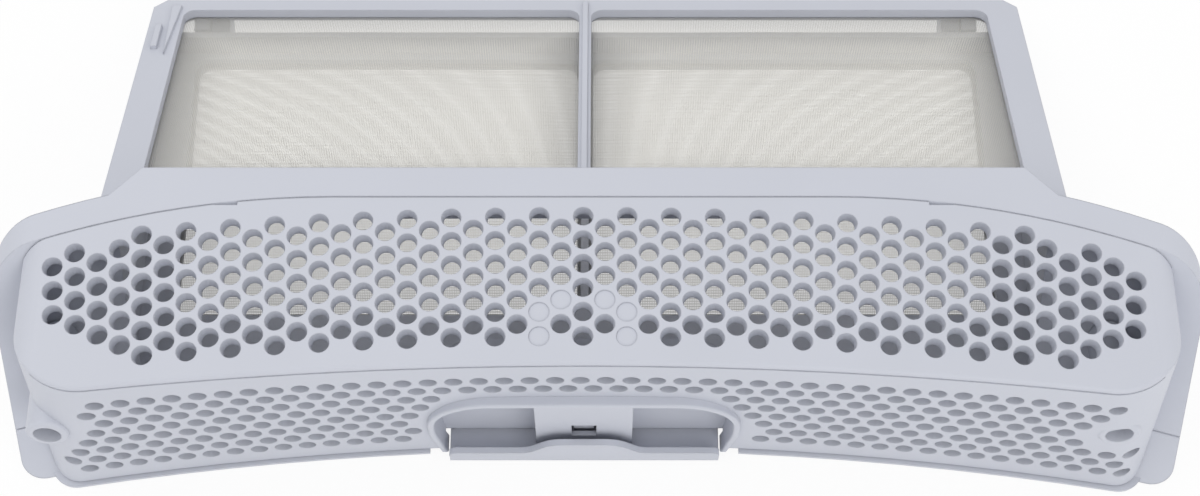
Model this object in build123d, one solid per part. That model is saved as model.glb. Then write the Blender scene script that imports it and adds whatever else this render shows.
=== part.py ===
from build123d import *
import os
from math import asin, cos, degrees, hypot, radians, sqrt, tan

# Millimetres. X runs along the hood, Y from the hood to the far end of the leaves, Z up.
# The filter lies flat on its lower leaf. It is drawn from the middle of the hood's top
# front edge, and every piece is moved at the end so that the middle of the underside is zero.

# Hood
HOOD_HEIGHT = 67.0
HOOD_DEPTH = 52.0
HOOD_LEFT = 160.0
HOOD_RIGHT = 168.0
HOOD_ARC_R = 1300.0
HOOD_FOOT_ARC_R = 1000.0
HOOD_DRAFT = 1.55
HOOD_WALL = 2.4
HOOD_TOP_WALL = 3.6
HOOD_CORNER_R = 20.0
HOOD_FOOT_CORNER_R = 8.0
HOOD_END_R = 9.0
HOOD_LOW_R = 6.5
HOOD_EDGE_R = 1.2
HOOD_FOOT = 2.0
SEAM_GAP = 0.6
SEAM_STRAIGHT = 72.0
SEAM_ARC_R = 260.0
SEAM_FOOT_R = 430.0
GROOVE_DOWN = 1.9
GROOVE_WIDTH = 0.7
GROOVE_DEPTH = 0.7
GROOVE_END = 6.5
NOTCH_X = 103.0
NOTCH_WIDTH = 7.0
NOTCH_DEPTH = 1.2

# Holes in the top and front of the hood
TOP_HOLE_D = 5.8
TOP_HOLE_INNER_D = 4.8
FRONT_HOLE_D = 5.1
HOLE_PITCH = 7.2
TOP_ROW_PITCH = 7.38
DRILL_SPARE = 1.0
TOP_ROWS = 6
TOP_FRONT_ROW = 8.4
TOP_REAR_MARGIN = 6.0
TOP_END_MARGIN = 9.3
TOP_END_R = 22.0
BLANK_DEPTH = 0.4
FRONT_ROWS = 8
FRONT_TOP_ROW = 12.1
FRONT_SHIFT = -0.7
FRONT_HIGH_MARGIN = 16.5
FRONT_LEFT_MARGIN = 8.0
FRONT_RIGHT_MARGIN = 4.0
FRONT_CUP_MARGIN = 11.5
FRONT_ARCH_MARGIN = 3.5

# Screw cups at the ends of the hood, and their screws
CUP_X = 154.5
CUP_Z = 38.6
CUP_RIM_D = 12.4
CUP_RIM_R = 1.2
CUP_D = 8.0
CUP_RIM_PROUD = -0.1
CUP_LEAN = 10.0
CUP_DEPTH = 14.0
SCREW_D = 3.5
SCREW_LENGTH = 19.0
SCREW_HEAD_D = 7.0
SCREW_HEAD_T = 2.4
SCREW_SLOT = 1.0
SCREW_SLOT_LENGTH = 4.4
SCREW_SLOT_DEPTH = 1.2
SCREW_CLEAR = 0.1

# Handle arch, finger recess and latch block
ARCH_WIDTH = 93.0
ARCH_TOP = 42.8
ARCH_R = 20.0
ARCH_WALL = 2.1
ARCH_FRONT = 3.8
ARCH_LIP_R = 0.7
ARCH_FOOT = 0.8
ARCH_TUCK = 3.0
ARCH_TUCK_Z = 16.0
ARCH_LEG_R = 30.0
RECESS_NEAR = 2.6
RECESS_FAR = 15.4
RECESS_WALL = 2.0
BLOCK_WIDTH = 29.0
BLOCK_FRONT = 2.3
BLOCK_WALL = 1.6
WINDOW_WIDTH = 7.4
WINDOW_LOW = 12.5
WINDOW_HIGH = 21.6

# Seating collar round the mouth of the hood, and the straight shoulder behind it
COLLAR_DEPTH = 8.6
COLLAR_TOP = 66.8
COLLAR_OVERHANG = 10.5
COLLAR_LOW_R = 7.0
COLLAR_TOP_R = 13.0
COLLAR_WALL = 2.6
COLLAR_JOIN = 2.0
MOUTH_HALF = 134.0
MOUTH_LOW = 6.0
MOUTH_HIGH = 63.0
MOUTH_R = 1.0
SPLIT_Z = 16.5
SPLIT_GAP = 0.4
SHOULDER_Y = 61.0
SHOULDER_HALF = 128.0
SHOULDER_RUN = 12.0
SHOULDER_SLANT = 45.0
SHOULDER_T = 3.8
SHOULDER_WALL = 2.0

# Upper leaf
LEAF_WIDTH = 285.0
LEAF_FAR_Y = 149.0
LEAF_FAR_Z = 14.4
LEAF_SLOPE = 23.4
LEAF_T = 5.0
LEAF_CORNER = 4.0
LEAF_NEAR_Y = 54.0
SHELF_WIDTH = 11.5
SHELF_LENGTH = 6.5
SIDE_RAIL = 10.5
BACK_RAIL = 5.6
NEAR_RAIL = 10.0
UPPER_RIB = 3.9
RIDGE_WIDTH = 1.8
RIDGE_HEIGHT = 1.0
WINDOW_R = 4.0
CHEEK_T = 3.0
CHEEK_FAR_Y = 144.0
SKIRT_Y = 134.0
SKIRT_T = 2.0
LEAF_GAP = 0.3
GUIDE_RIB_IN = 2.6
GUIDE_RIB_WIDTH = 2.0
GUIDE_RIB_LENGTH = 12.0
GUIDE_RIB_HEIGHT = 1.3
GUIDE_RIB_BACK = 15.0
RAMP_WIDTH = 3.2
RAMP_LENGTH = 26.0
RAMP_HEIGHT = 0.9
RAMP_IN = 6.2
RAMP_BACK = 4.0

# Lower leaf
LOWER_T = 5.0
LOWER_NEAR_Y = -7.0
LOWER_FAR_Y = 137.2
LOWER_WINDOW_NEAR = 41.3
LOWER_WINDOW_FAR = 130.5
LOWER_WINDOW_HALF = 128.5
LOWER_RIB = 5.0
SILL_PROUD = 1.0

# Mesh panels, held on a ledge round each window
MESH_T = 0.6
MESH_LEDGE = 1.2
MESH_CLEAR = 0.1
UPPER_MESH_DOWN = 3.0
LOWER_MESH_UP = 2.0

# Hinge at the far end
HINGE_Y = 142.5
HINGE_Z = 6.5
HINGE_BOSS_R = 4.8
HINGE_PIN_R = 2.5
HINGE_CLEAR = 0.1
HINGE_LUG_X = 118.0
HINGE_LUG_T = 6.0
HINGE_EAR_T = 5.0
HINGE_END_GAP = 0.3
HINGE_SWEEP_GAP = 0.6

# Latch lever
LEVER_WIDTH = 82.0
LEVER_Y = 6.9
LEVER_Z = 2.5
LEVER_ROOT_R = 2.0
LEVER_PIN_R = 1.3
LEVER_PIN_LENGTH = 4.2
LEVER_CLEAR = 0.08
LEVER_LOW = 0.6
LEVER_T = 2.4
LEVER_FRONT = 6.6
LIP_T = 1.6
LIP_TOP = 8.6
LIP_END_R = 2.5
BEAD_WIDTH = 1.2
BEAD_PROUD = 0.4
TAB_WIDTH = 34.0
TAB_TOP_WIDTH = 20.0
TAB_TOP = 16.2
TAB_R = 9.0
TAB_FOOT_R = 5.0
HOOK_WIDTH = 6.2
HOOK_T = 1.4
HOOK_BACK = 1.9
HOOK_TOP = 19.5
HOOK_ROOM = 1.0
NOSE_HEIGHT = 5.5
NOSE_GAP = 0.3
LEVER_BAY_GAP = 0.4
LEVER_LUG_TOP = 4.6
ARCH_BAY_GAP = 0.8

toe = HOOD_HEIGHT * tan(radians(HOOD_DRAFT))
mouth_slope = (HOOD_DEPTH + toe) / HOOD_HEIGHT
mouth_cos = 1 / sqrt(1 + mouth_slope**2)
leaf_tan = tan(radians(LEAF_SLOPE))
leaf_cos = cos(radians(LEAF_SLOPE))
leaf_half = LEAF_WIDTH / 2
split_low = SPLIT_Z - SPLIT_GAP / 2
split_high = SPLIT_Z + SPLIT_GAP / 2
row_step = HOLE_PITCH * sqrt(3) / 2
recess_foot = LEVER_LUG_TOP + LEVER_BAY_GAP
recess_high = ARCH_TOP - ARCH_WALL
collar_left = -(HOOD_LEFT + COLLAR_OVERHANG)
collar_right = HOOD_RIGHT + COLLAR_OVERHANG
far = 400.0


def block(x0, x1, y0, y1, z0, z1):
    """A box given by its limits."""
    return Pos((x0 + x1) / 2, (y0 + y1) / 2, (z0 + z1) / 2) * Box(x1 - x0, y1 - y0, z1 - z0)


def bar_x(y, z, radius, x0, x1):
    """A round bar along X."""
    return Pos((x0 + x1) / 2, y, z) * Rot(0, 90, 0) * Cylinder(radius, x1 - x0)


def bar_y(x, z, radius, y0, y1):
    """A round bar along Y."""
    return Pos(x, (y0 + y1) / 2, z) * Rot(90, 0, 0) * Cylinder(radius, y1 - y0)


def side_plate(points, x0, x1):
    """A flat outline in Y and Z, as thick as from x0 to x1."""
    outline = Plane.YZ * make_face(Polyline(*points, close=True))
    return Pos(x0, 0, 0) * extrude(outline, amount=x1 - x0)


def front_prism(outline):
    """An outline in X and Z, carried far along Y both ways."""
    return extrude(Plane.XZ * outline, amount=far, both=True)


def at_height(sketch, z):
    """The corners of a front outline that lie at a height."""
    return sketch.vertices().filter_by_position(Axis.Y, z - 0.01, z + 0.01)


def face_y(x, z):
    """Where the outside of the hood's front face is."""
    high = sqrt(HOOD_ARC_R**2 - x**2) - HOOD_ARC_R
    low = sqrt(HOOD_FOOT_ARC_R**2 - x**2) - HOOD_FOOT_ARC_R - toe
    return low + (high - low) * z / HOOD_HEIGHT


def seam_radius(z):
    """The bend of the seam at a height, flatter towards the foot."""
    bend = 1 / SEAM_FOOT_R + (1 / SEAM_ARC_R - 1 / SEAM_FOOT_R) * z / HOOD_HEIGHT
    return 1 / bend


def seam_drop(x, z):
    """How far the seam runs forward of its straight middle."""
    out = max(abs(x) - SEAM_STRAIGHT, 0)
    radius = seam_radius(z)
    return radius - sqrt(radius**2 - out**2)


def seam_plan(shift, z):
    """All that lies behind the seam at a height, as a flat outline."""
    reach = max(HOOD_LEFT, HOOD_RIGHT) + 2 * COLLAR_OVERHANG
    start = shift - toe + mouth_slope * z
    radius = seam_radius(z)
    turn = degrees(asin((reach - SEAM_STRAIGHT) / radius))
    middle = Line((-SEAM_STRAIGHT, start), (SEAM_STRAIGHT, start))
    right = CenterArc((SEAM_STRAIGHT, start - radius), radius, 90, -turn)
    left = CenterArc((-SEAM_STRAIGHT, start - radius), radius, 90, turn)
    edge_y = start - seam_drop(reach, z)
    rest = Polyline((reach, edge_y), (reach, far), (-reach, far), (-reach, edge_y))
    return Pos(0, 0, z) * make_face([middle, right, left, rest])


def seam_strip(shift):
    """All that lies behind the leaning seam surface."""
    spare = 2.0
    return loft([seam_plan(shift, -spare), seam_plan(shift, HOOD_HEIGHT + spare)], ruled=True)


def rear_y(z):
    """The back of the collar beside a cheek at a height."""
    return COLLAR_DEPTH - toe + mouth_slope * z - seam_drop(leaf_half - CHEEK_T, z)


def leaf_z(y):
    """The upper face of the sloping leaf."""
    return LEAF_FAR_Z + (LEAF_FAR_Y - y) * leaf_tan


def hood_plan(inset, z, corner, arc):
    """The hood seen from above, long at the back, moved in by the inset."""
    left = inset - HOOD_LEFT
    right = HOOD_RIGHT - inset
    radius = arc + inset
    left_y = sqrt(radius**2 - left**2) - arc
    right_y = sqrt(radius**2 - right**2) - arc
    back = HOOD_DEPTH + 30
    front = ThreePointArc((left, left_y), (0, inset), (right, right_y))
    rest = Polyline((right, right_y), (right, back), (left, back), (left, left_y))
    plan = make_face([front, rest])
    plan = fillet(plan.vertices().sort_by(Axis.Y)[:2], corner)
    return Pos(0, 0, z) * plan


def hood_view(inset):
    """The hood seen from the front, with rounded corners."""
    left = inset - HOOD_LEFT - toe
    right = HOOD_RIGHT + toe - inset
    low = HOOD_FOOT + inset
    high = HOOD_HEIGHT - (HOOD_TOP_WALL if inset else 0)
    view = make_face(Polyline((left, low), (right, low), (right, high), (left, high), close=True))
    view = fillet(at_height(view, high), HOOD_END_R - inset)
    return front_prism(fillet(at_height(view, low), HOOD_LOW_R - inset))


def arch(inset, low):
    """The handle arch seen from the front, with legs that close in towards the foot."""
    half = ARCH_WIDTH / 2 - inset
    high = ARCH_TOP - inset
    foot = half - ARCH_TUCK * (ARCH_TUCK_Z - low) / ARCH_TUCK_Z
    right = [(foot, low), (half, ARCH_TUCK_Z), (half, high)]
    left = [(-half, high), (-half, ARCH_TUCK_Z), (-foot, low)]
    view = make_face(Polyline(*right, *left, close=True))
    view = fillet(at_height(view, high), ARCH_R - inset)
    return front_prism(fillet(at_height(view, ARCH_TUCK_Z), ARCH_LEG_R))


def past_arch(x, z):
    """How far a point of the front face is outside the handle arch."""
    straight = ARCH_WIDTH / 2 - ARCH_R
    if z < ARCH_TOP - ARCH_R:
        return abs(x) - ARCH_WIDTH / 2
    if abs(x) < straight:
        return z - ARCH_TOP
    return hypot(abs(x) - straight, z - (ARCH_TOP - ARCH_R)) - ARCH_R


def shoulder_plan(inset, run):
    """The straight shoulder seen from above, its ends slanting forward."""
    back = SHOULDER_Y - inset
    half = SHOULDER_HALF - inset * tan(radians(SHOULDER_SLANT / 2))
    wide = half + run / tan(radians(SHOULDER_SLANT))
    points = [(-wide, back - run), (-half, back), (half, back), (wide, back - run)]
    return make_face(Polyline(*points, close=True))


def top_holes():
    """Centres of the top holes in rows that follow the front edge, and of the blanked ones."""
    open_holes = []
    blanks = []
    middle_r = HOOD_ARC_R + TOP_FRONT_ROW + TOP_ROW_PITCH * (TOP_ROWS / 2)
    for i in range(-26, 27):
        shift = 0.5 * (i % 2)
        for n in range(TOP_ROWS - i % 2):
            row = n + shift
            radius = HOOD_ARC_R + TOP_FRONT_ROW + TOP_ROW_PITCH * row
            angle = i * row_step / middle_r
            x = radius * angle
            y = sqrt(radius**2 - x**2) - HOOD_ARC_R
            if HOOD_DEPTH - seam_drop(x, HOOD_HEIGHT) - y < TOP_REAR_MARGIN:
                continue
            end = HOOD_LEFT if i < 0 else HOOD_RIGHT
            past_x = max(abs(x) - (end - TOP_END_MARGIN - TOP_END_R), 0)
            past_y = max(TOP_END_R - TOP_ROW_PITCH * row, 0)
            if past_x > 0 and hypot(past_x, past_y) > TOP_END_R:
                continue
            blank = (abs(i) == 2 and row < 2) or (abs(i) == 1 and row == 1.5)
            (blanks if blank else open_holes).append((x, y))
    return open_holes, blanks


def front_holes():
    """Centres of the front holes in rows that run along the hood."""
    centres = []
    for k in range(FRONT_ROWS):
        z = HOOD_HEIGHT - FRONT_TOP_ROW - row_step * k
        left = FRONT_HIGH_MARGIN if z > CUP_Z else FRONT_LEFT_MARGIN
        right = FRONT_HIGH_MARGIN if z > CUP_Z else FRONT_RIGHT_MARGIN
        for i in range(-24, 25):
            x = HOLE_PITCH * (i + 0.5 * (k % 2)) + FRONT_SHIFT
            if x < left - HOOD_LEFT or x > HOOD_RIGHT - right:
                continue
            if hypot(abs(x) - CUP_X, z - CUP_Z) < FRONT_CUP_MARGIN:
                continue
            if past_arch(x, z) < FRONT_ARCH_MARGIN:
                continue
            centres.append((x, z))
    return centres


# Hood shell, drawn full and hollowed, then trimmed to the leaning seam
wall_draft = HOOD_TOP_WALL * tan(radians(HOOD_DRAFT))
outer_high = hood_plan(0, HOOD_HEIGHT, HOOD_CORNER_R, HOOD_ARC_R)
outer_low = hood_plan(-toe, 0, HOOD_FOOT_CORNER_R, HOOD_FOOT_ARC_R)
outer = loft([outer_high, outer_low], ruled=True)
ridge = outer.edges().filter_by_position(Axis.Z, HOOD_HEIGHT - 0.01, HOOD_HEIGHT + 0.01)
ridge = ridge.sort_by(lambda e: e.center().Y)[:-1]
outer = fillet(ridge, HOOD_EDGE_R)
outer = outer & hood_view(0)
inner_z = HOOD_HEIGHT - HOOD_TOP_WALL
inner_high = hood_plan(HOOD_WALL - wall_draft, inner_z, HOOD_CORNER_R - HOOD_WALL, HOOD_ARC_R)
inner_low = hood_plan(HOOD_WALL - toe, 0, HOOD_FOOT_CORNER_R - HOOD_WALL, HOOD_FOOT_ARC_R)
inner = loft([inner_high, inner_low], ruled=True) & hood_view(HOOD_WALL)
hood = outer - inner

cup_face = face_y(CUP_X, CUP_Z)
cup_floor = cup_face + CUP_DEPTH
cup_rim = cup_face - CUP_RIM_PROUD
cup_lean = CUP_RIM_D * tan(radians(CUP_LEAN))
cup_room = side_plate(
    [
        (cup_rim - cup_lean, CUP_Z - CUP_RIM_D),
        (cup_rim + cup_lean, CUP_Z + CUP_RIM_D),
        (HOOD_DEPTH, CUP_Z + CUP_RIM_D),
        (HOOD_DEPTH, CUP_Z - CUP_RIM_D),
    ],
    -far,
    far,
)
for side in (-1, 1):
    cup = bar_y(side * CUP_X, CUP_Z, CUP_RIM_D / 2, -HOOD_DEPTH, HOOD_DEPTH) & cup_room
    hood = hood + fillet(cup.edges().sort_by(lambda e: e.center().Y)[0], CUP_RIM_R)
hood = hood - seam_strip(-SEAM_GAP)

# Handle arch and the finger recess behind it
arch_hole = arch(ARCH_WALL, -HOOD_HEIGHT)
hood = hood - (arch_hole & block(-far, far, -far, 5, -1, HOOD_HEIGHT))
rim = arch(0, ARCH_FOOT) - arch_hole
rim = rim & block(-far, far, -ARCH_FRONT, face_y(0, ARCH_TOP) + HOOD_WALL, 0, HOOD_HEIGHT)
rim = fillet(rim.edges().filter_by_position(Axis.Y, -ARCH_FRONT - 0.01, -ARCH_FRONT + 0.01), ARCH_LIP_R)
recess_back = side_plate(
    [
        (0, recess_foot),
        (RECESS_NEAR + RECESS_WALL, recess_foot),
        (RECESS_FAR + RECESS_WALL, recess_high),
        (RECESS_FAR + RECESS_WALL, ARCH_TOP),
        (0, ARCH_TOP),
    ],
    -far,
    far,
)
recess_room = side_plate(
    [
        (-far, -1),
        (RECESS_NEAR, -1),
        (RECESS_NEAR, recess_foot),
        (RECESS_FAR, recess_high),
        (-far, recess_high),
    ],
    -far,
    far,
)
hood = hood + rim + ((recess_back & arch(0, recess_foot)) - (recess_room & arch_hole))
hook_half = HOOK_WIDTH / 2
slot_half = hook_half + HOOK_ROOM
hood = hood - block(-slot_half, slot_half, 0, HOOK_BACK + HOOK_ROOM, -1, HOOK_TOP)

# Latch block in the middle of the recess, open behind and below, with its window
block_half = BLOCK_WIDTH / 2
hollow_half = block_half - BLOCK_WALL
hollow_front = BLOCK_WALL - BLOCK_FRONT
window_half = WINDOW_WIDTH / 2
latch_block = block(-block_half, block_half, -BLOCK_FRONT, RECESS_FAR, recess_foot, recess_high)
latch_block = latch_block & recess_room
latch_block = latch_block - block(-hollow_half, hollow_half, hollow_front, far, -1, recess_high - BLOCK_WALL)
latch_block = latch_block - block(-window_half, window_half, -far, hollow_front + 1, WINDOW_LOW, WINDOW_HIGH)

# Cups, holes, blanked discs, the fine groove under the ridge and two notches at the seam
screw_hole_r = SCREW_D / 2 + 2 * SCREW_CLEAR
for side in (-1, 1):
    hood = hood - bar_y(side * CUP_X, CUP_Z, CUP_D / 2, -far, cup_floor)
    hood = hood - bar_y(side * CUP_X, CUP_Z, screw_hole_r, -far, far)
top_open, top_blank = top_holes()
hole_taper = (TOP_HOLE_D - TOP_HOLE_INNER_D) / 2 / HOOD_TOP_WALL
drill_low_r = TOP_HOLE_INNER_D / 2 - hole_taper * DRILL_SPARE
drill_high_r = TOP_HOLE_D / 2 + hole_taper * DRILL_SPARE
drill_z = HOOD_HEIGHT - HOOD_TOP_WALL / 2
drills = []
for x, y in top_open:
    drills.append(Pos(x, y, drill_z) * Cone(drill_low_r, drill_high_r, HOOD_TOP_WALL + 2 * DRILL_SPARE))
for x, y in top_blank:
    drills.append(Pos(x, y, HOOD_HEIGHT) * Cylinder(TOP_HOLE_D / 2, 2 * BLANK_DEPTH))
for x, z in front_holes():
    drills.append(bar_y(x, z, FRONT_HOLE_D / 2, face_y(x, z) - 4, face_y(x, z) + 4 * HOOD_WALL))
hood = hood - drills
groove_z = HOOD_HEIGHT - GROOVE_DOWN
groove_plan = hood_plan(-2, groove_z, HOOD_CORNER_R, HOOD_ARC_R)
groove_plan = groove_plan - hood_plan(GROOVE_DEPTH, groove_z, HOOD_CORNER_R, HOOD_ARC_R)
groove = extrude(groove_plan, amount=GROOVE_WIDTH)
hood = hood - (groove & block(GROOVE_END - HOOD_LEFT, HOOD_RIGHT - GROOVE_END, -far, far, 0, far))
notch_y = HOOD_DEPTH - seam_drop(NOTCH_X, HOOD_HEIGHT) - NOTCH_DEPTH
notch_low = HOOD_HEIGHT - HOOD_TOP_WALL / 2
for side in (-1, 1):
    left = side * NOTCH_X - NOTCH_WIDTH / 2
    hood = hood - block(left, left + NOTCH_WIDTH, notch_y, far, notch_low, far)

# Collar band along the seam, hollow at its ends, cut into the upper and the lower moulding
right = [(collar_right, 0), (collar_right, COLLAR_TOP)]
left = [(collar_left, COLLAR_TOP), (collar_left, 0)]
collar_view = make_face(Polyline(*right, *left, close=True))
collar_view = fillet(at_height(collar_view, 0), COLLAR_LOW_R)
collar_view = fillet(at_height(collar_view, COLLAR_TOP), COLLAR_TOP_R)
mouth_mid = (MOUTH_LOW + MOUTH_HIGH) / 2
mouth_view = Pos(0, mouth_mid) * RectangleRounded(2 * MOUTH_HALF, MOUTH_HIGH - MOUTH_LOW, MOUTH_R)
band = seam_strip(0) - seam_strip(COLLAR_DEPTH)
ring = (band & front_prism(collar_view)) - front_prism(mouth_view)
end_room = front_prism(offset(collar_view, -COLLAR_WALL)) & seam_strip(COLLAR_WALL / mouth_cos)
end_room = end_room - block(-leaf_half - 1, leaf_half + 1, -far, far, -far, far)
for side in (-1, 1):
    end_room = end_room - bar_y(side * CUP_X, CUP_Z, SCREW_D / 2 + COLLAR_WALL, -far, far)
ring = ring - end_room
ring_upper = ring & block(-far, far, -far, far, split_high, far)
ring_lower = ring & block(-far, far, -far, far, -1, split_low)
pilot_r = SCREW_D / 2 + SCREW_CLEAR
for side in (-1, 1):
    ring_upper = ring_upper - bar_y(side * CUP_X, CUP_Z, pilot_r, 0, cup_floor + SCREW_LENGTH + 1)

# Upper leaf in its own sloping plane, Y down the slope from the far end
leaf_plane = Plane((0, LEAF_FAR_Y, LEAF_FAR_Z), x_dir=(1, 0, 0), z_dir=(0, leaf_tan, 1))
leaf_length = (LEAF_FAR_Y - LEAF_NEAR_Y) / leaf_cos
leaf_view = Pos(0, -leaf_length / 2) * Rectangle(LEAF_WIDTH, leaf_length)
leaf_view = chamfer(leaf_view.vertices().sort_by(Axis.Y)[2:], LEAF_CORNER)
window_near = NEAR_RAIL - leaf_length
window_length = -BACK_RAIL - window_near
window_width = leaf_half - SIDE_RAIL - UPPER_RIB / 2
window_x = UPPER_RIB / 2 + window_width / 2
window_y = (window_near - BACK_RAIL) / 2
seat_width = window_width + 2 * MESH_LEDGE
seat_length = window_length + 2 * MESH_LEDGE
leaf = extrude(leaf_view, amount=-LEAF_T)
upper_meshes = []
for side in (-1, 1):
    at = Pos(side * window_x, window_y)
    leaf = leaf - extrude(at * RectangleRounded(window_width, window_length, WINDOW_R), amount=-LEAF_T)
    seat = Pos(0, 0, -UPPER_MESH_DOWN) * at * RectangleRounded(seat_width, seat_length, WINDOW_R)
    leaf = leaf - extrude(seat, amount=-LEAF_T)
    sheet_width = seat_width - 2 * MESH_CLEAR
    sheet_length = seat_length - 2 * MESH_CLEAR
    sheet = Pos(0, 0, -UPPER_MESH_DOWN) * at * RectangleRounded(sheet_width, sheet_length, WINDOW_R)
    upper_meshes.append(leaf_plane * extrude(sheet, amount=-MESH_T))
    shelf_left = min(side * leaf_half, side * (leaf_half - SHELF_WIDTH))
    shelf_near = -leaf_length - SHELF_LENGTH
    leaf = leaf + block(shelf_left, shelf_left + SHELF_WIDTH, shelf_near, 1 - leaf_length, -LEAF_T, 0)
leaf = leaf + block(-RIDGE_WIDTH / 2, RIDGE_WIDTH / 2, window_near, -BACK_RAIL / 3, -1, RIDGE_HEIGHT)
rib_left = GUIDE_RIB_IN - leaf_half
rib_back = -GUIDE_RIB_BACK
rib_near = rib_back - GUIDE_RIB_LENGTH
leaf = leaf + block(rib_left, rib_left + GUIDE_RIB_WIDTH, rib_near, rib_back, -1, GUIDE_RIB_HEIGHT)
ramp_x = RAMP_IN - leaf_half
ramp_view = make_face(
    Polyline(
        (ramp_x, -RAMP_BACK),
        (ramp_x + RAMP_WIDTH, -RAMP_BACK),
        (ramp_x + RAMP_WIDTH / 3, -RAMP_BACK - RAMP_LENGTH),
        close=True,
    )
)
leaf = leaf + extrude(Pos(0, 0, -1) * ramp_view, amount=1 + RAMP_HEIGHT)
under_leaf = leaf_plane * block(-far, far, -far, far, -far, -LEAF_T / 2)

# Straight shoulder behind the collar: a top plate, and a wall that stands on the leaf
shoulder_low = COLLAR_TOP - SHOULDER_T
wall_low = leaf_z(SHOULDER_Y) - LEAF_T
shoulder = extrude(Pos(0, 0, shoulder_low) * shoulder_plan(0, SHOULDER_RUN), amount=SHOULDER_T)
wall_plan = shoulder_plan(0, SHOULDER_RUN) - shoulder_plan(SHOULDER_WALL, 2 * SHOULDER_RUN)
shoulder_wall = extrude(Pos(0, 0, wall_low) * wall_plan, amount=shoulder_low + SHOULDER_T / 2 - wall_low)
shoulder = (shoulder + (shoulder_wall - under_leaf)) & seam_strip(0)
upper_frame = leaf_plane * leaf + ring_upper + shoulder

# Side cheeks and back skirt close the pocket above the lower leaf
cheek_low = LOWER_T + LEAF_GAP
cheek_front = rear_y(split_low) + LEAF_GAP
cheek_high = shoulder_low - 1
cheek = [
    (cheek_front, cheek_low),
    (cheek_front, split_high),
    (rear_y(split_high) - COLLAR_JOIN, split_high),
    (rear_y(cheek_high) - COLLAR_JOIN, cheek_high),
    (SHOULDER_Y - SHOULDER_RUN, cheek_high),
    (SHOULDER_Y, leaf_z(SHOULDER_Y) - LEAF_T / 2),
    (CHEEK_FAR_Y, leaf_z(CHEEK_FAR_Y) - LEAF_T / 2),
    (CHEEK_FAR_Y, cheek_low),
]
for side in (-1, 1):
    left = min(side * leaf_half, side * (leaf_half - CHEEK_T))
    upper_frame = upper_frame + side_plate(cheek, left, left + CHEEK_T)
skirt_back = SKIRT_Y + SKIRT_T
skirt_half = leaf_half - CHEEK_T / 2
skirt_top = leaf_z(skirt_back) - LEAF_T / leaf_cos + 1
upper_frame = upper_frame + block(-skirt_half, skirt_half, SKIRT_Y, skirt_back, cheek_low, skirt_top)

# Hinge: ears on the upper leaf turn on stub pins of the lower leaf
lug_end = HINGE_LUG_X + HINGE_LUG_T
ear_x = lug_end + HINGE_END_GAP
ear_end = ear_x + HINGE_EAR_T
ear_top = leaf_z(HINGE_Y) - LEAF_T / leaf_cos + 1
for side in (-1, 1):
    sweep_left = min(side * (HINGE_LUG_X - HINGE_END_GAP), side * ear_x)
    sweep_right = max(side * (HINGE_LUG_X - HINGE_END_GAP), side * ear_x)
    ear_left = min(side * ear_x, side * ear_end)
    sweep = bar_x(HINGE_Y, HINGE_Z, HINGE_BOSS_R + HINGE_SWEEP_GAP, sweep_left, sweep_right)
    ear = bar_x(HINGE_Y, HINGE_Z, HINGE_BOSS_R, ear_left, ear_left + HINGE_EAR_T)
    web_y = HINGE_BOSS_R - 1
    web = block(ear_left, ear_left + HINGE_EAR_T, HINGE_Y - web_y, HINGE_Y + web_y, HINGE_Z, ear_top)
    bore = bar_x(HINGE_Y, HINGE_Z, HINGE_PIN_R + HINGE_CLEAR, ear_left, ear_left + HINGE_EAR_T)
    upper_frame = upper_frame - sweep + ear + web
    upper_frame = upper_frame - bore

# Lower leaf with its part of the collar, a sill under the hood, the hinge lugs and the lever's bay
lower_mid = (LOWER_NEAR_Y + LOWER_FAR_Y) / 2
lower_view = Pos(0, lower_mid) * Rectangle(LEAF_WIDTH, LOWER_FAR_Y - LOWER_NEAR_Y)
lower_view = chamfer(lower_view.vertices().sort_by(Axis.Y)[2:], LEAF_CORNER)
lower_frame = extrude(lower_view, amount=LOWER_T) & seam_strip(0)
lower_width = LOWER_WINDOW_HALF - LOWER_RIB / 2
lower_length = LOWER_WINDOW_FAR - LOWER_WINDOW_NEAR
lower_x = (LOWER_WINDOW_HALF + LOWER_RIB / 2) / 2
lower_y = (LOWER_WINDOW_FAR + LOWER_WINDOW_NEAR) / 2
lower_meshes = []
for side in (-1, 1):
    at = Pos(side * lower_x, lower_y, LOWER_MESH_UP)
    opening = Pos(side * lower_x, lower_y) * RectangleRounded(lower_width, lower_length, WINDOW_R)
    seat_width = lower_width + 2 * MESH_LEDGE
    seat_length = lower_length + 2 * MESH_LEDGE
    lower_frame = lower_frame - extrude(opening, amount=LOWER_T)
    lower_frame = lower_frame - extrude(at * RectangleRounded(seat_width, seat_length, WINDOW_R), amount=LOWER_T)
    sheet_width = seat_width - 2 * MESH_CLEAR
    sheet_length = seat_length - 2 * MESH_CLEAR
    lower_meshes.append(extrude(at * RectangleRounded(sheet_width, sheet_length, WINDOW_R), amount=MESH_T))
sill_plan = hood_plan(-toe - SILL_PROUD, 0, HOOD_FOOT_CORNER_R, HOOD_FOOT_ARC_R)
sill = extrude(sill_plan, amount=HOOD_FOOT - SEAM_GAP)
lower_frame = lower_frame + ring_lower + (sill - seam_strip(COLLAR_DEPTH / 2))
gusset_back = rear_y(split_low)
gusset_low = LOWER_T - 1
gusset = [
    (rear_y(gusset_low) - COLLAR_JOIN, gusset_low),
    (gusset_back, gusset_low),
    (gusset_back, split_low),
    (gusset_back - COLLAR_JOIN, split_low),
]
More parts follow.
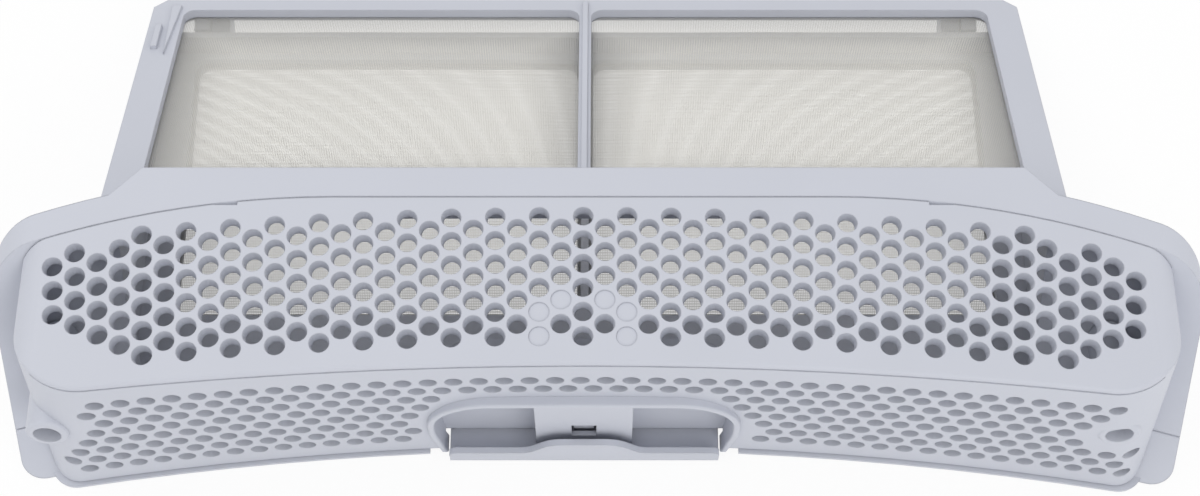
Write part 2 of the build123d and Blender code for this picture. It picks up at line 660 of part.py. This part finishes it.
for side in (-1, 1):
    left = min(side * leaf_half, side * (leaf_half - CHEEK_T))
    lower_frame = lower_frame + side_plate(gusset, left, left + CHEEK_T)
    lug_left = min(side * HINGE_LUG_X, side * lug_end)
    pin_left = min(side * HINGE_LUG_X, side * ear_end)
    lug = bar_x(HINGE_Y, HINGE_Z, HINGE_BOSS_R, lug_left, lug_left + HINGE_LUG_T)
    arm = block(lug_left, lug_left + HINGE_LUG_T, LOWER_FAR_Y - 1, HINGE_Y, 0, LOWER_T)
    pin = bar_x(HINGE_Y, HINGE_Z, HINGE_PIN_R, pin_left, pin_left + ear_end - HINGE_LUG_X)
    lower_frame = lower_frame + lug + arm + pin
lever_half = LEVER_WIDTH / 2
bay_half = ARCH_WIDTH / 2 + ARCH_BAY_GAP
bay_back = LEVER_Y - LEVER_ROOT_R - LEVER_BAY_GAP
root_half = lever_half + LEVER_BAY_GAP
root_back = LEVER_Y + LEVER_ROOT_R + LEVER_BAY_GAP
lower_frame = lower_frame - block(-bay_half, bay_half, -far, bay_back, -1, split_low)
lower_frame = lower_frame - block(-root_half, root_half, bay_back - 1, root_back, -1, split_low)
lower_frame = lower_frame - block(-bay_half, bay_half, bay_back - 1, root_back, LEVER_LUG_TOP, split_low)
pivot_half = lever_half + LEVER_PIN_LENGTH
pivot_end = pivot_half + LEVER_BAY_GAP
lower_frame = lower_frame - bar_x(LEVER_Y, LEVER_Z, LEVER_PIN_R + LEVER_CLEAR, -pivot_end, pivot_end)

# Latch lever: pivot bar, floor, a beaded lip that swells to a thumb tab, and a hook in the block
lever_high = LEVER_LOW + LEVER_T
lip_front = BEAD_PROUD - LEVER_FRONT
lip_back = lip_front + LIP_T
lever = bar_x(LEVER_Y, LEVER_Z, LEVER_ROOT_R, -lever_half, lever_half)
lever = lever + bar_x(LEVER_Y, LEVER_Z, LEVER_PIN_R, -pivot_half, pivot_half)
lever = lever + block(-lever_half, lever_half, lip_front, LEVER_Y, LEVER_LOW, lever_high)
tab_half = TAB_WIDTH / 2
tab_top_half = TAB_TOP_WIDTH / 2
right = [(lever_half, LEVER_LOW), (lever_half, LIP_TOP), (tab_half, LIP_TOP), (tab_top_half, TAB_TOP)]
left = [(-x, z) for x, z in reversed(right)]
lip_view = make_face(Polyline(*right, *left, close=True))
lip_view = fillet(at_height(lip_view, TAB_TOP), TAB_R)
lip_feet = at_height(lip_view, LIP_TOP).sort_by(lambda v: abs(v.X))
lip_view = fillet(lip_feet[:2], TAB_FOOT_R)
lip_ends = at_height(lip_view, LIP_TOP).sort_by(lambda v: abs(v.X))
lip_view = fillet(lip_ends[2:], LIP_END_R)
lip = front_prism(lip_view) & block(-far, far, lip_front, lip_back, 0, far)
bead_view = lip_view - offset(lip_view, -BEAD_WIDTH)
bead = front_prism(bead_view) & block(-far, far, -LEVER_FRONT, lip_back, LIP_TOP - LIP_END_R, far)
hook = block(-hook_half, hook_half, HOOK_BACK - HOOK_T, HOOK_BACK, LEVER_LOW + 1, HOOK_TOP)
nose_front = hollow_front + NOSE_GAP
nose = block(-hook_half, hook_half, nose_front, HOOK_BACK, HOOK_TOP - NOSE_HEIGHT, HOOK_TOP)
latch_lever = lever + lip + bead + hook + nose

# Screws that hold the hood on the collar
screws = []
for side in (-1, 1):
    screw = bar_y(side * CUP_X, CUP_Z, SCREW_D / 2, cup_floor - 1, cup_floor + SCREW_LENGTH)
    screw = screw + bar_y(side * CUP_X, CUP_Z, SCREW_HEAD_D / 2, cup_floor - SCREW_HEAD_T, cup_floor)
    slot_front = cup_floor - SCREW_HEAD_T
    slot = Pos(side * CUP_X, slot_front, CUP_Z) * Box(SCREW_SLOT_LENGTH, 2 * SCREW_SLOT_DEPTH, SCREW_SLOT)
    slot = slot + Pos(side * CUP_X, slot_front, CUP_Z) * Box(SCREW_SLOT, 2 * SCREW_SLOT_DEPTH, SCREW_SLOT_LENGTH)
    screws.append(screw - slot)

nodes = {
    "hood": hood,
    "latch_block": latch_block,
    "upper_frame": upper_frame,
    "upper_mesh_left": upper_meshes[0],
    "upper_mesh_right": upper_meshes[1],
    "hood_screw_left": screws[0],
    "hood_screw_right": screws[1],
    "lower_frame": lower_frame,
    "lower_mesh_left": lower_meshes[0],
    "lower_mesh_right": lower_meshes[1],
    "latch_lever": latch_lever,
}

box = Compound(children=[Compound(s.wrapped) for s in nodes.values()]).bounding_box()
zero = Pos(-(box.min.X + box.max.X) / 2, -(box.min.Y + box.max.Y) / 2, -box.min.Z)
os.makedirs("parts", exist_ok=True)
for name, shape in nodes.items():
    solids = shape.solids()
    print(name, len(solids), [round(s.volume, 1) for s in solids])
    export_step(zero * solids[0], f"parts/{name}.step")
print("box", box.size, "moved by", zero.position)
print("hinge", zero.position + Vector(0, HINGE_Y, HINGE_Z))
print("lever", zero.position + Vector(0, LEVER_Y, LEVER_Z))
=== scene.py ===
from math import cos, pi, radians, sin

import bmesh
import bpy
from mathutils import Matrix, Vector


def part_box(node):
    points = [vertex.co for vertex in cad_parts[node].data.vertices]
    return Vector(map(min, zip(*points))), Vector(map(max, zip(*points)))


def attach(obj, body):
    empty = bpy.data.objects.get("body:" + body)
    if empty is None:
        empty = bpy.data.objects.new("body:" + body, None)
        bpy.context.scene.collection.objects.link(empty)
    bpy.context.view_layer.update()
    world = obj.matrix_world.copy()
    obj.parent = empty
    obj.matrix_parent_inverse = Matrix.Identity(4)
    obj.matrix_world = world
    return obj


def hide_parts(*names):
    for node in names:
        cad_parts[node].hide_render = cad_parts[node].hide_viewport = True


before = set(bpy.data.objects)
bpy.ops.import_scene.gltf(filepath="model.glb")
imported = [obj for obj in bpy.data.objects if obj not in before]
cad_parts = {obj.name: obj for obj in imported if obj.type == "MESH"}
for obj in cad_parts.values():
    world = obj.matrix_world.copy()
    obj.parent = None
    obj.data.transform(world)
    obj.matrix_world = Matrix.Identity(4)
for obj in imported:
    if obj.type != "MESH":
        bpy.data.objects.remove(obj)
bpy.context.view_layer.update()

bl_info = {
    "name": "Lint Filter Finishes",
    "version": (1, 0, 0),
    "blender": (4, 5, 0),
    "location": "View3D > Sidebar > Lint Filter",
    "description": "Mesh cloth, moulded finishes and a studio for a tumble dryer lint filter",
    "category": "Object",
}

MOULDINGS = ("hood", "latch_block", "upper_frame", "lower_frame", "latch_lever")
SCREWS = ("hood_screw_left", "hood_screw_right")
SIDES = ("left", "right")

# Mesh cloth in metres: the cut at each corner, the cells of its grid and the ripple in its sag
CLOTH_CORNER = 0.0024
CLOTH_CELLS = (48, 32)
RIPPLE_RATE = (130, 90)
RIPPLE_SHARE = 0.25

# Painted shade round a panel, darkening the cloth as if shaded by the frame round it, in shares of the
# way from its middle to its edge
EDGE_SHADE_START = 0.55
EDGE_SHADE_END = 0.95
EDGE_SHADE_TONE = 0.6
EDGE_SHADE_SIDE_SHIFT = 0.12

# Floor, lamps and camera
FLOOR_HALF = 3.0
FLOOR_CELLS = 8
FLOOR_DROP = 0.0002
FLOOR_WHITE = 0.9
KEY_PLACE = (-0.55, 0.25, 1.25)
KEY_AIM = (0, 0, 0)
KEY_SIZE = 1.0
FILL_PLACE = (0.6, -1.0, 0.8)
FILL_AIM = (0, 0, 0.03)
FILL_SIZE = 0.8
CAMERA_PLACE = (0.0008, -0.2645569, 0.5878)
CAMERA_DOWN = 65.86
CAMERA_LENS = 60.15
CAMERA_SENSOR = 36.0


class MouldingSettings(bpy.types.PropertyGroup):
    """Colour and surface of the grey mouldings"""

    colour: bpy.props.FloatVectorProperty(
        name="Plastic",
        description="Colour of the grey mouldings",
        subtype="COLOR",
        size=3,
        min=0,
        max=1,
        default=(0.563, 0.582, 0.648),
    )
    grain: bpy.props.FloatProperty(
        name="Grain",
        description="Size of the fine grain left by the mould",
        default=0.0009,
        min=0.0001,
        unit="LENGTH",
    )
    edge: bpy.props.FloatProperty(
        name="Edge",
        description="Radius of the softened edges",
        default=0.0005,
        min=0,
        unit="LENGTH",
    )


class ClothSettings(bpy.types.PropertyGroup):
    """Weave and tension of the mesh cloth"""

    colour: bpy.props.FloatVectorProperty(
        name="Thread",
        description="Colour of the mesh threads",
        subtype="COLOR",
        size=3,
        min=0,
        max=1,
        default=(0.93, 0.915, 0.865),
    )
    pitch: bpy.props.FloatProperty(
        name="Pitch",
        description="Distance from thread to thread",
        default=0.00055,
        min=0.0001,
        unit="LENGTH",
    )
    sag: bpy.props.FloatProperty(
        name="Sag",
        description="How far the middle of a panel hangs",
        default=0.0005,
        min=0,
        unit="LENGTH",
    )
    thickness: bpy.props.FloatProperty(
        name="Thickness",
        description="Thickness of the cloth",
        default=0.00022,
        min=0.0001,
        unit="LENGTH",
    )
    slope: bpy.props.FloatProperty(
        name="Upper Slope",
        description="Slope of the upper leaf",
        default=radians(23.4),
        unit="ROTATION",
    )
    plate: bpy.props.FloatProperty(
        name="Plate",
        description="Thickness of the plain panel that the cloth stands for",
        default=0.0006,
        min=0.0001,
        unit="LENGTH",
    )


class StageSettings(bpy.types.PropertyGroup):
    """Floor and light"""

    floor: bpy.props.FloatVectorProperty(
        name="Floor",
        description="Colour of the floor",
        subtype="COLOR",
        size=3,
        min=0,
        max=1,
        default=(0.96, 0.96, 0.96),
    )
    key: bpy.props.FloatProperty(
        name="Key",
        description="Power of the large soft lamp",
        default=3.2,
        min=0,
        unit="POWER",
    )
    fill: bpy.props.FloatProperty(
        name="Fill",
        description="Power of the front lamp",
        default=3.0,
        min=0,
        unit="POWER",
    )
    sky: bpy.props.FloatProperty(
        name="Sky",
        description="Strength of the even light from all round",
        default=0.82,
        min=0,
    )


def socket(group, name, kind, way, value=None):
    made = group.interface.new_socket(name=name, in_out=way, socket_type=kind)
    if value is not None:
        made.default_value = value


def math_node(tree, operation, a, b=None):
    node = tree.nodes.new("ShaderNodeMath")
    node.operation = operation
    for n, value in enumerate((a, b)):
        if value is None:
            continue
        if isinstance(value, (int, float)):
            node.inputs[n].default_value = value
        else:
            tree.links.new(value, node.inputs[n])
    return node.outputs[0]


def multiply_node(tree):
    """Colour mix that multiplies A by B"""
    node = tree.nodes.new("ShaderNodeMix")
    node.data_type = "RGBA"
    node.blend_type = "MULTIPLY"
    node.inputs["Factor"].default_value = 1.0
    return node


def range_node(tree, value, start=(0.0, 1.0), end=(0.0, 1.0), smooth=False):
    """Value carried from one range to another"""
    node = tree.nodes.new("ShaderNodeMapRange")
    if smooth:
        node.interpolation_type = "SMOOTHSTEP"
    node.inputs["From Min"].default_value = start[0]
    node.inputs["From Max"].default_value = start[1]
    node.inputs["To Min"].default_value = end[0]
    node.inputs["To Max"].default_value = end[1]
    tree.links.new(value, node.inputs["Value"])
    return node.outputs["Result"]


def grain_group():
    """Fine mould grain, with soft cloudy changes of tone and gloss"""
    found = bpy.data.node_groups.get("mould_grain")
    if found:
        return found
    group = bpy.data.node_groups.new("mould_grain", "ShaderNodeTree")
    socket(group, "Vector", "NodeSocketVector", "INPUT")
    socket(group, "Colour", "NodeSocketColor", "INPUT", (0.6, 0.6, 0.6, 1))
    socket(group, "Scale", "NodeSocketFloat", "INPUT", 1000.0)
    socket(group, "Colour", "NodeSocketColor", "OUTPUT")
    socket(group, "Roughness", "NodeSocketFloat", "OUTPUT")
    socket(group, "Height", "NodeSocketFloat", "OUTPUT")
    take = group.nodes.new("NodeGroupInput")
    give = group.nodes.new("NodeGroupOutput")
    cloud = group.nodes.new("ShaderNodeTexNoise")
    cloud.inputs["Scale"].default_value = 28.0
    cloud.inputs["Detail"].default_value = 4.0
    group.links.new(take.outputs["Vector"], cloud.inputs["Vector"])
    fine = group.nodes.new("ShaderNodeTexNoise")
    fine.inputs["Detail"].default_value = 2.0
    group.links.new(take.outputs["Vector"], fine.inputs["Vector"])
    group.links.new(take.outputs["Scale"], fine.inputs["Scale"])
    tint = multiply_node(group)
    group.links.new(take.outputs["Colour"], tint.inputs["A"])
    group.links.new(range_node(group, cloud.outputs[0], end=(0.965, 1.03)), tint.inputs["B"])
    group.links.new(tint.outputs["Result"], give.inputs["Colour"])
    group.links.new(range_node(group, cloud.outputs[0], end=(0.40, 0.56)), give.inputs["Roughness"])
    group.links.new(fine.outputs[0], give.inputs["Height"])
    return group


def weave_group():
    """Plain weave of fine threads on a flat map in metres"""
    found = bpy.data.node_groups.get("fine_weave")
    if found:
        return found
    group = bpy.data.node_groups.new("fine_weave", "ShaderNodeTree")
    socket(group, "Vector", "NodeSocketVector", "INPUT")
    socket(group, "Turns", "NodeSocketFloat", "INPUT", 5700.0)
    socket(group, "Cover", "NodeSocketFloat", "OUTPUT")
    socket(group, "Height", "NodeSocketFloat", "OUTPUT")
    socket(group, "Tone", "NodeSocketFloat", "OUTPUT")
    take = group.nodes.new("NodeGroupInput")
    give = group.nodes.new("NodeGroupOutput")
    split = group.nodes.new("ShaderNodeSeparateXYZ")
    group.links.new(take.outputs["Vector"], split.inputs[0])
    u = math_node(group, "MULTIPLY", split.outputs["X"], take.outputs["Turns"])
    v = math_node(group, "MULTIPLY", split.outputs["Y"], take.outputs["Turns"])
    warp = math_node(group, "ABSOLUTE", math_node(group, "COSINE", u))
    weft = math_node(group, "ABSOLUTE", math_node(group, "COSINE", v))
    thread = math_node(group, "MAXIMUM", warp, weft)
    group.links.new(range_node(group, thread, start=(0.88, 0.96), smooth=True), give.inputs["Cover"])
    over = math_node(group, "MULTIPLY", math_node(group, "SINE", u), math_node(group, "SINE", v))
    lift = math_node(group, "MULTIPLY_ADD", over, 0.35)
    group.links.new(thread, lift.node.inputs[2])
    group.links.new(lift, give.inputs["Height"])
    group.links.new(range_node(group, thread, start=(0.8, 1.0), end=(0.86, 1.0)), give.inputs["Tone"])
    return group


def clean_material(name):
    made = bpy.data.materials.new(name)
    made.use_nodes = True
    made.node_tree.nodes.clear()
    out = made.node_tree.nodes.new("ShaderNodeOutputMaterial")
    shader = made.node_tree.nodes.new("ShaderNodeBsdfPrincipled")
    made.node_tree.links.new(shader.outputs[0], out.inputs["Surface"])
    return made, made.node_tree, shader, out


def moulded_plastic(settings):
    """Satin grey plastic with a fine mould grain and softened edges"""
    made, tree, shader, _ = clean_material("moulded_plastic")
    place = tree.nodes.new("ShaderNodeTexCoord")
    grain = tree.nodes.new("ShaderNodeGroup")
    grain.node_tree = grain_group()
    grain.inputs["Colour"].default_value = (*settings.colour, 1)
    grain.inputs["Scale"].default_value = 1 / settings.grain
    tree.links.new(place.outputs["Object"], grain.inputs["Vector"])
    tree.links.new(grain.outputs["Colour"], shader.inputs["Base Color"])
    tree.links.new(grain.outputs["Roughness"], shader.inputs["Roughness"])
    soft = tree.nodes.new("ShaderNodeBevel")
    soft.samples = 4
    soft.inputs["Radius"].default_value = settings.edge
    bump = tree.nodes.new("ShaderNodeBump")
    bump.inputs["Strength"].default_value = 0.06
    bump.inputs["Distance"].default_value = 0.0002
    tree.links.new(grain.outputs["Height"], bump.inputs["Height"])
    tree.links.new(soft.outputs[0], bump.inputs["Normal"])
    tree.links.new(bump.outputs[0], shader.inputs["Normal"])
    shader.inputs["Specular IOR Level"].default_value = 0.42
    return made


def mesh_cloth(settings):
    """Open woven mesh, darkened towards its edges by painted shade of the frame round it"""
    made, tree, shader, _ = clean_material("woven_mesh")
    made.use_transparent_shadow = True
    flat = tree.nodes.new("ShaderNodeUVMap")
    flat.uv_map = "flat"
    weave = tree.nodes.new("ShaderNodeGroup")
    weave.node_tree = weave_group()
    weave.inputs["Turns"].default_value = pi / settings.pitch
    tree.links.new(flat.outputs[0], weave.inputs["Vector"])
    thread = multiply_node(tree)
    thread.inputs["A"].default_value = (*settings.colour, 1)
    tree.links.new(weave.outputs["Tone"], thread.inputs["B"])
    # Painted shade: the cloth darkens towards the panel's edges, standing in for the shade of the frame
    # round it
    edge = tree.nodes.new("ShaderNodeUVMap")
    edge.uv_map = "share"
    split = tree.nodes.new("ShaderNodeSeparateXYZ")
    tree.links.new(edge.outputs[0], split.inputs[0])
    out_x = math_node(tree, "SUBTRACT", math_node(tree, "ABSOLUTE", split.outputs["X"]), EDGE_SHADE_SIDE_SHIFT)
    out_y = math_node(tree, "ABSOLUTE", split.outputs["Y"])
    out = math_node(tree, "MAXIMUM", out_x, out_y)
    edge_shade = range_node(tree, out, (EDGE_SHADE_START, EDGE_SHADE_END), (1.0, EDGE_SHADE_TONE), smooth=True)
    shade = multiply_node(tree)
    tree.links.new(thread.outputs["Result"], shade.inputs["A"])
    tree.links.new(edge_shade, shade.inputs["B"])
    tree.links.new(shade.outputs["Result"], shader.inputs["Base Color"])
    tree.links.new(weave.outputs["Cover"], shader.inputs["Alpha"])
    bump = tree.nodes.new("ShaderNodeBump")
    bump.inputs["Strength"].default_value = 0.25
    bump.inputs["Distance"].default_value = 0.0001
    tree.links.new(weave.outputs["Height"], bump.inputs["Height"])
    tree.links.new(bump.outputs[0], shader.inputs["Normal"])
    shader.inputs["Roughness"].default_value = 0.62
    shader.inputs["Sheen Weight"].default_value = 0.15
    return made


def plated_steel():
    """Dull plated steel with a fine grain"""
    made, tree, shader, _ = clean_material("plated_steel")
    place = tree.nodes.new("ShaderNodeTexCoord")
    grain = tree.nodes.new("ShaderNodeGroup")
    grain.node_tree = grain_group()
    grain.inputs["Colour"].default_value = (0.42, 0.42, 0.43, 1)
    grain.inputs["Scale"].default_value = 2600.0
    tree.links.new(place.outputs["Object"], grain.inputs["Vector"])
    tree.links.new(grain.outputs["Colour"], shader.inputs["Base Color"])
    bump = tree.nodes.new("ShaderNodeBump")
    bump.inputs["Strength"].default_value = 0.1
    bump.inputs["Distance"].default_value = 0.0001
    tree.links.new(grain.outputs["Height"], bump.inputs["Height"])
    tree.links.new(bump.outputs[0], shader.inputs["Normal"])
    tree.links.new(grain.outputs["Roughness"], shader.inputs["Roughness"])
    shader.inputs["Metallic"].default_value = 0.9
    return made


def dress(nodes, material):
    """Gives CAD nodes a finish"""
    for name in nodes:
        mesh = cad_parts[name].data
        mesh.materials.clear()
        mesh.materials.append(material)


def panel_cloth(name, node, body, slope, settings, material):
    """A stretched sheet of mesh in a leaf's window"""
    low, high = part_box(node)
    width = high.x - low.x
    length = ((high.y - low.y) - settings.plate * sin(slope)) / cos(slope)
    shape = bmesh.new()
    layer = shape.loops.layers.uv.new("flat")
    share = shape.loops.layers.uv.new("share")
    bmesh.ops.create_grid(shape, x_segments=CLOTH_CELLS[0], y_segments=CLOTH_CELLS[1], size=0.5)
    bmesh.ops.scale(shape, vec=(width, length, 1), verts=shape.verts)
    for sx in (-1, 1):
        for sy in (-1, 1):
            at = Vector((sx * (width / 2 - CLOTH_CORNER), sy * length / 2, 0))
            parts = shape.verts[:] + shape.edges[:] + shape.faces[:]
            bmesh.ops.bisect_plane(
                shape, geom=parts, plane_co=at, plane_no=(sx, sy, 0), clear_outer=True
            )
    for face in shape.faces:
        for loop in face.loops:
            loop[layer].uv = loop.vert.co.xy
            loop[share].uv = (2 * loop.vert.co.x / width, 2 * loop.vert.co.y / length)
    for vert in shape.verts:
        across = 1 - (2 * vert.co.x / width) ** 2
        along = 1 - (2 * vert.co.y / length) ** 2
        ripple = sin(vert.co.x * RIPPLE_RATE[0]) * cos(vert.co.y * RIPPLE_RATE[1])
        vert.co.z = -settings.sag * across * along * (1 + RIPPLE_SHARE * ripple)
    turn = Matrix.Rotation(-slope, 4, "X")
    place = Matrix.Translation((low + high) / 2) @ turn
    bmesh.ops.transform(shape, matrix=place, verts=shape.verts)
    mesh = bpy.data.meshes.new(name)
    shape.to_mesh(mesh)
    shape.free()
    for face in mesh.polygons:
        face.use_smooth = True
    mesh.materials.append(material)
    piece = bpy.data.objects.new(name, mesh)
    bpy.context.scene.collection.objects.link(piece)
    thick = piece.modifiers.new("thickness", "SOLIDIFY")
    thick.thickness = settings.thickness
    thick.offset = 0
    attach(piece, body)
    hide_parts(node)


def stretch(leaf, slope, settings):
    """Both panels of mesh in one leaf"""
    material = bpy.data.materials.get("woven_mesh") or mesh_cloth(settings)
    for side in SIDES:
        panel_cloth(
            f"{leaf}_cloth_{side}", f"{leaf}_mesh_{side}", f"{leaf}_leaf", slope, settings, material
        )


class LINTFILTER_OT_mouldings(bpy.types.Operator):
    """Finish the hood, both leaf frames and the latch in grey plastic"""

    bl_idname = "lintfilter.mouldings"
    bl_label = "Finish Mouldings"

    def execute(self, context):
        dress(MOULDINGS, moulded_plastic(context.scene.lint_moulding))
        return {"FINISHED"}


class LINTFILTER_OT_screws(bpy.types.Operator):
    """Finish the hood screws in plated steel"""

    bl_idname = "lintfilter.screws"
    bl_label = "Finish Screws"

    def execute(self, context):
        dress(SCREWS, plated_steel())
        return {"FINISHED"}


class LINTFILTER_OT_upper_cloth(bpy.types.Operator):
    """Stretch the mesh cloth in the sloping upper leaf"""

    bl_idname = "lintfilter.upper_cloth"
    bl_label = "Stretch Upper Mesh"

    def execute(self, context):
        settings = context.scene.lint_cloth
        stretch("upper", settings.slope, settings)
        return {"FINISHED"}


class LINTFILTER_OT_lower_cloth(bpy.types.Operator):
    """Stretch the mesh cloth in the flat lower leaf"""

    bl_idname = "lintfilter.lower_cloth"
    bl_label = "Stretch Lower Mesh"

    def execute(self, context):
        settings = context.scene.lint_cloth
        stretch("lower", 0.0, settings)
        return {"FINISHED"}


def soft_lamp(name, place, aim, size, power):
    data = bpy.data.lights.new(name, "AREA")
    data.shape = "DISK"
    data.size = size
    data.energy = power
    lamp = bpy.data.objects.new(name, data)
    bpy.context.scene.collection.objects.link(lamp)
    lamp.location = place
    lamp.rotation_euler = (Vector(aim) - Vector(place)).to_track_quat("-Z", "Y").to_euler()


def pale_floor(settings):
    """Pale floor that the camera sees as near white, with a trace of the shadow"""
    made, tree, shader, out = clean_material("pale_floor")
    shader.inputs["Base Color"].default_value = (*settings.floor, 1)
    shader.inputs["Roughness"].default_value = 0.9
    shader.inputs["Specular IOR Level"].default_value = 0.1
    glow = tree.nodes.new("ShaderNodeEmission")
    glow.inputs["Strength"].default_value = 1.0
    rays = tree.nodes.new("ShaderNodeLightPath")
    seen = math_node(tree, "MAXIMUM", rays.outputs["Is Camera Ray"], rays.outputs["Is Glossy Ray"])
    seen = math_node(tree, "MAXIMUM", seen, rays.outputs["Is Transmission Ray"])
    share = math_node(tree, "MULTIPLY", seen, FLOOR_WHITE)
    mix = tree.nodes.new("ShaderNodeMixShader")
    tree.links.new(share, mix.inputs[0])
    tree.links.new(shader.outputs[0], mix.inputs[1])
    tree.links.new(glow.outputs[0], mix.inputs[2])
    tree.links.new(mix.outputs[0], out.inputs["Surface"])
    return made


class LINTFILTER_OT_stage(bpy.types.Operator):
    """Lay the floor, hang the lamps and set the camera"""

    bl_idname = "lintfilter.stage"
    bl_label = "Set Stage"

    def execute(self, context):
        scene = context.scene
        settings = scene.lint_stage
        scene.view_settings.view_transform = "Standard"
        shape = bmesh.new()
        bmesh.ops.create_grid(shape, x_segments=FLOOR_CELLS, y_segments=FLOOR_CELLS, size=FLOOR_HALF)
        bmesh.ops.translate(shape, vec=(0, 0, -FLOOR_DROP), verts=shape.verts)
        mesh = bpy.data.meshes.new("floor")
        shape.to_mesh(mesh)
        shape.free()
        mesh.materials.append(pale_floor(settings))
        floor = bpy.data.objects.new("floor", mesh)
        scene.collection.objects.link(floor)
        world = bpy.data.worlds.new("studio")
        world.use_nodes = True
        sky = world.node_tree.nodes["Background"]
        sky.inputs["Color"].default_value = (1, 1, 1, 1)
        sky.inputs["Strength"].default_value = settings.sky
        scene.world = world
        soft_lamp("key_lamp", KEY_PLACE, KEY_AIM, KEY_SIZE, settings.key)
        soft_lamp("fill_lamp", FILL_PLACE, FILL_AIM, FILL_SIZE, settings.fill)
        data = bpy.data.cameras.new("camera")
        data.sensor_width = CAMERA_SENSOR
        data.lens = CAMERA_LENS
        camera = bpy.data.objects.new("camera", data)
        scene.collection.objects.link(camera)
        camera.location = CAMERA_PLACE
        camera.rotation_euler = (radians(90 - CAMERA_DOWN), 0, 0)
        scene.camera = camera
        return {"FINISHED"}


class LINTFILTER_PT_panel(bpy.types.Panel):
    """Shows the filter's settings and the buttons that finish and stage it"""

    bl_idname = "LINTFILTER_PT_panel"
    bl_label = "Lint Filter"
    bl_space_type = "VIEW_3D"
    bl_region_type = "UI"
    bl_category = "Lint Filter"

    def draw(self, context):
        scene = context.scene
        for group in (scene.lint_moulding, scene.lint_cloth, scene.lint_stage):
            box = self.layout.box()
            for name in group.__annotations__:
                box.prop(group, name)
        for operator in OPERATORS:
            self.layout.operator(operator.bl_idname)


OPERATORS = (
    LINTFILTER_OT_mouldings,
    LINTFILTER_OT_screws,
    LINTFILTER_OT_upper_cloth,
    LINTFILTER_OT_lower_cloth,
    LINTFILTER_OT_stage,
)
GROUPS = (MouldingSettings, ClothSettings, StageSettings)


def register():
    for kind in (*GROUPS, *OPERATORS, LINTFILTER_PT_panel):
        bpy.utils.register_class(kind)
    bpy.types.Scene.lint_moulding = bpy.props.PointerProperty(type=MouldingSettings)
    bpy.types.Scene.lint_cloth = bpy.props.PointerProperty(type=ClothSettings)
    bpy.types.Scene.lint_stage = bpy.props.PointerProperty(type=StageSettings)


def unregister():
    del bpy.types.Scene.lint_stage
    del bpy.types.Scene.lint_cloth
    del bpy.types.Scene.lint_moulding
    for kind in reversed((*GROUPS, *OPERATORS, LINTFILTER_PT_panel)):
        bpy.utils.unregister_class(kind)


def main():
    register()
    bpy.ops.lintfilter.mouldings()
    bpy.ops.lintfilter.screws()
    bpy.ops.lintfilter.upper_cloth()
    bpy.ops.lintfilter.lower_cloth()
    bpy.ops.lintfilter.stage()


if __name__ == "__main__":
    main()
